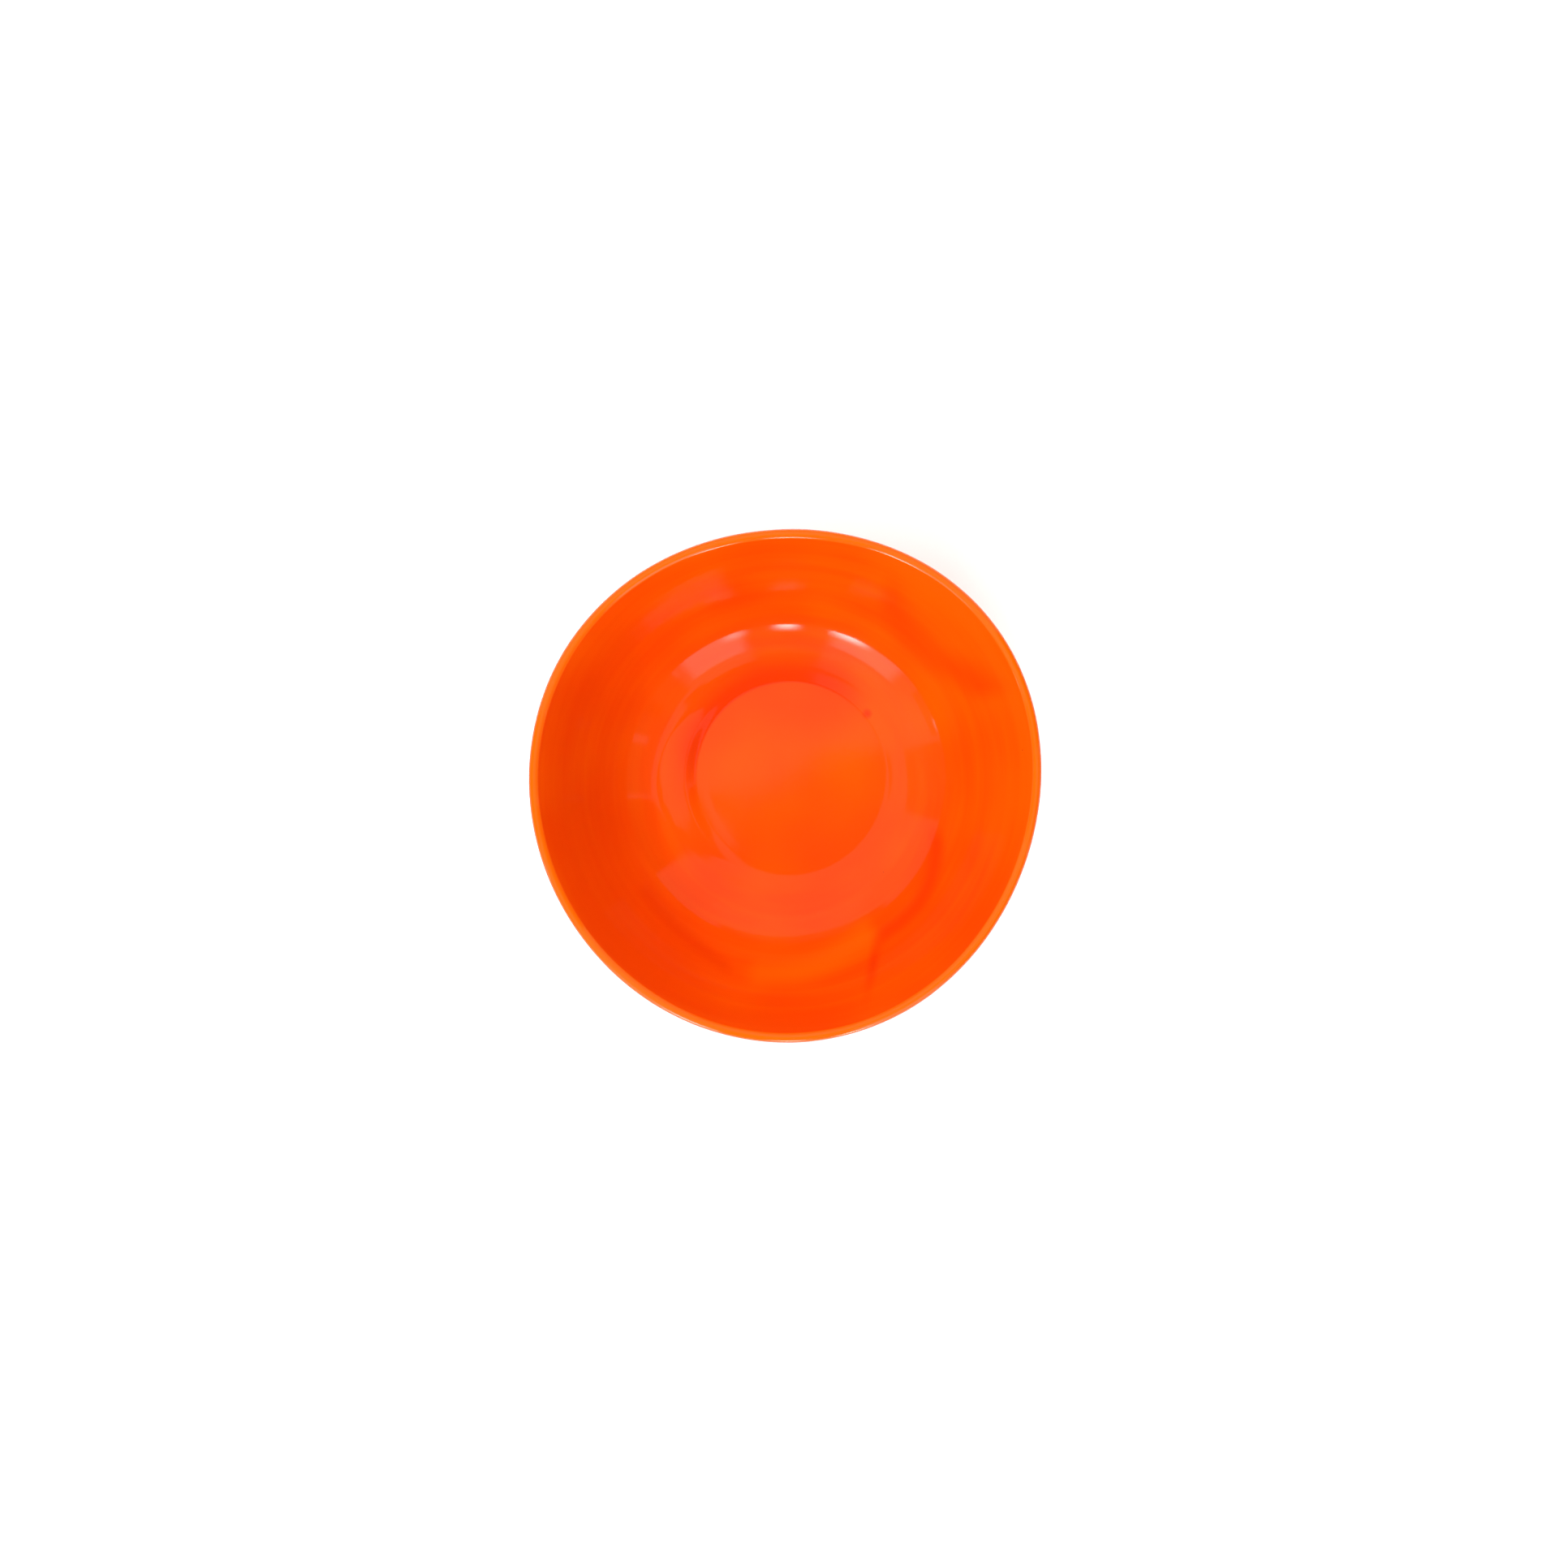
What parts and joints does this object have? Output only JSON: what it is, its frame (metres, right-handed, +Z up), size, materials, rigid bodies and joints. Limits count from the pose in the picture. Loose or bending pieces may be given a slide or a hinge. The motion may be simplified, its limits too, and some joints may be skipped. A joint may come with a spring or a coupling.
{
  "type": "bowl",
  "caption": "Small hand-thrown bowl with an orange glaze, a flat well ringed by a groove, a slightly uneven round lip and a bare foot ring.",
  "frame": {"origin": "on the axis of the foot ring, on the plane that the bowl stands on", "axes": "+Z up along the axis of the foot ring; +X and +Y to the right and away as one looks down into the bowl"},
  "size_m": [0.1596, 0.1598, 0.057],
  "materials": {
    "fired_clay": "matte",
    "orange_glaze": "gloss"
  },
  "bodies": {
    "root": {"clay_body": "fired_clay", "foot_ring": "fired_clay", "inner_glaze": "orange_glaze", "outer_glaze": "orange_glaze", "base_glaze": "orange_glaze"}
  },
  "joints": []
}
